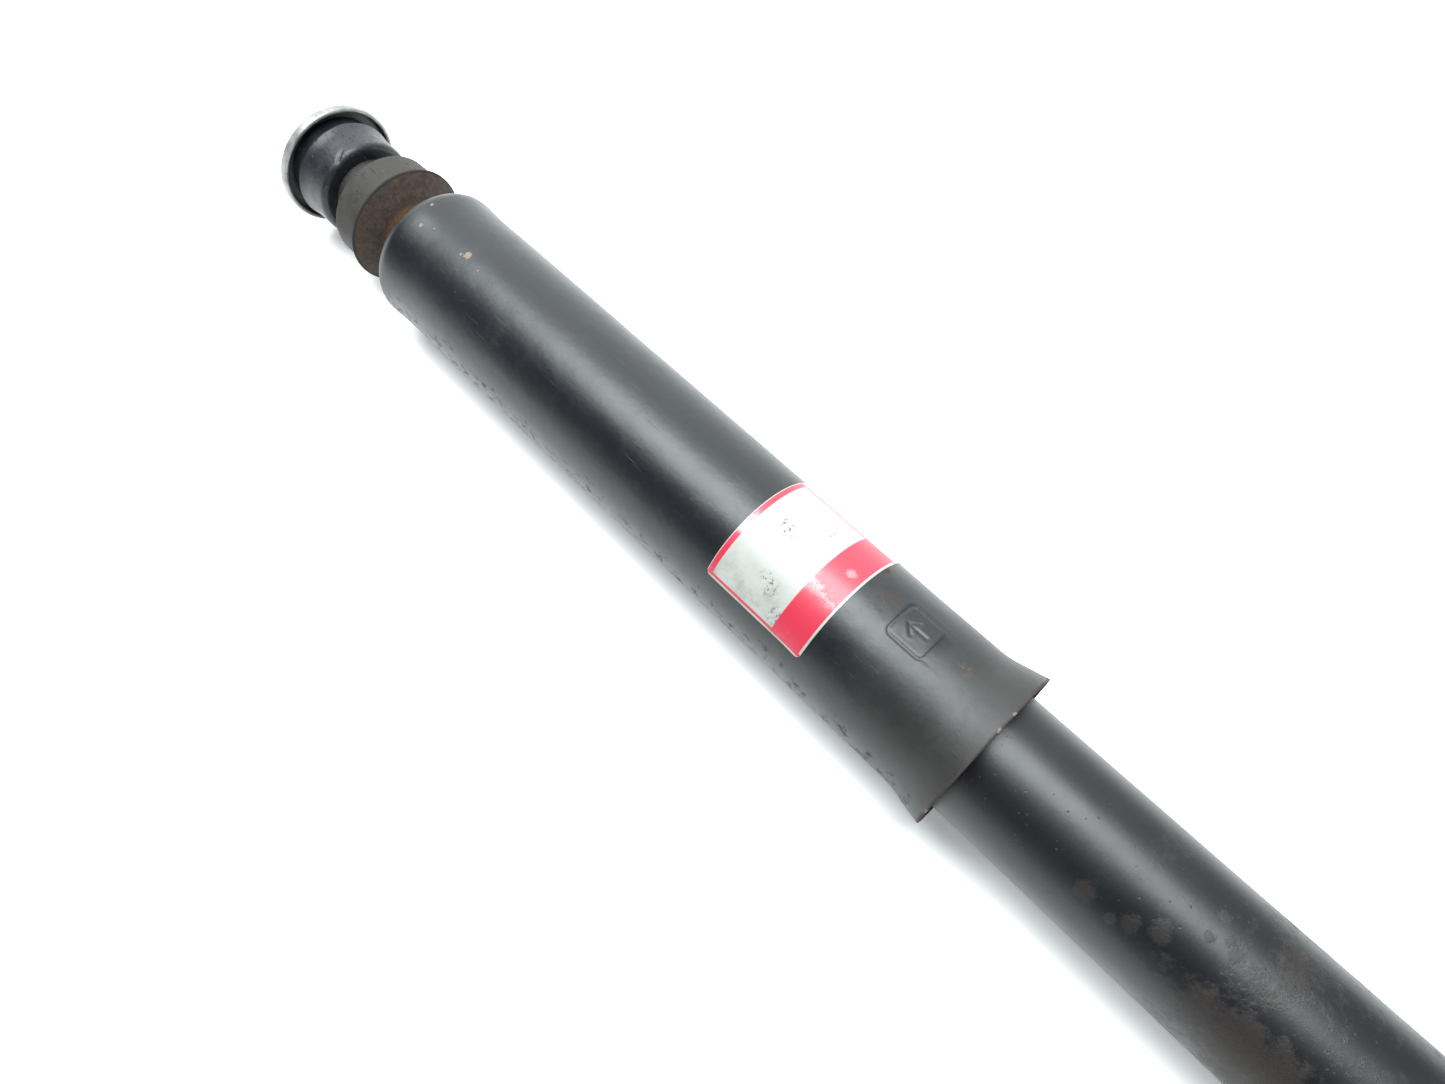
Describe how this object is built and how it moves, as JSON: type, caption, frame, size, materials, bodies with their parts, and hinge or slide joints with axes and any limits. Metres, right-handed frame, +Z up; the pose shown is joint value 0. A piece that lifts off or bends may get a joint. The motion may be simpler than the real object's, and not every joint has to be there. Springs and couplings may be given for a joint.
{
  "type": "telescopic shock absorber strut",
  "caption": "Twin-tube telescopic damper with a steel dust cover, a stem top mount with rubber cushions and dished washers, and a rubber-bushed lower eye.",
  "frame": {"origin": "centre of the lower eye's bolt bore", "axes": "+X along the strut from the lower eye to the stem, +Z up as it lies on a table, the lower bolt along Y"},
  "size_m": [0.7055, 0.0676, 0.0676],
  "materials": {
    "cover_paint": "semi-gloss black paint, worn",
    "tube_paint": "semi-gloss black paint with rust",
    "label_paper": "printed vinyl",
    "rusty_steel": "rusted steel",
    "zinc": "zinc plate",
    "plain_steel": "plain steel",
    "hard_chrome": "hard chrome",
    "sintered": "sintered iron",
    "spring_steel": "spring steel",
    "bush_bronze": "bronze bush",
    "band": "filled plastic band",
    "rubber": "moulded rubber"
  },
  "bodies": {
    "strut_tube": {"reservoir_tube": "tube_paint", "base_cap": "tube_paint", "eye_ring": "tube_paint", "eye_rubber": "rubber", "working_cylinder": "plain_steel", "base_valve_body": "sintered", "base_valve_discs": "spring_steel", "base_valve_rivet": "plain_steel", "base_check_spring": "spring_steel", "rod_guide": "plain_steel", "guide_bush": "bush_bronze", "rod_seal": "rubber", "seal_washer": "plain_steel"},
    "lower_sleeve": {"eye_sleeve": "plain_steel"},
    "base_check": {"base_check_plate": "spring_steel"},
    "piston_band": {"piston_ring": "band"},
    "rod_and_cover": {"piston_rod": "hard_chrome", "piston": "sintered", "rebound_discs": "spring_steel", "piston_nut": "plain_steel", "piston_stop_washer": "plain_steel", "piston_check_spring": "spring_steel", "rebound_stop": "plain_steel", "rebound_bumper": "rubber", "cover_plate": "plain_steel", "dust_cover": "cover_paint", "cover_label": "label_paper", "stem_collar": "rusty_steel", "lower_retainer": "rusty_steel", "lower_cushion": "rubber", "spacer_sleeve": "plain_steel", "upper_cushion": "rubber", "upper_retainer": "zinc", "top_nut": "zinc"},
    "piston_check": {"piston_check_plate": "spring_steel"}
  },
  "joints": [
    {"name": "rod_slide", "type": "slide", "parent": "strut_tube", "child": "piston_band", "axis": [1, 0, 0], "range_m": [-0.225, 0], "stiffness_N_per_m": 200, "springref_m": 0.6},
    {"name": "rod_spin", "type": "hinge", "parent": "piston_band", "child": "rod_and_cover", "pos_m": [0.299, 0, 0], "axis": [1, 0, 0], "continuous": true},
    {"name": "bush_twist", "type": "hinge", "parent": "strut_tube", "child": "lower_sleeve", "pos_m": [0, 0, 0], "axis": [0, 1, 0], "range_deg": [-20, 20], "stiffness_Nm_per_rad": 60},
    {"name": "base_check_lift", "type": "slide", "parent": "strut_tube", "child": "base_check", "axis": [1, 0, 0], "range_m": [0, 0.0008], "stiffness_N_per_m": 500, "springref_m": -0.002, "deforming": ["base_check_spring"]},
    {"name": "piston_check_lift", "type": "slide", "parent": "rod_and_cover", "child": "piston_check", "axis": [1, 0, 0], "range_m": [0, 0.0008], "stiffness_N_per_m": 500, "springref_m": -0.002, "deforming": ["piston_check_spring"]}
  ]
}
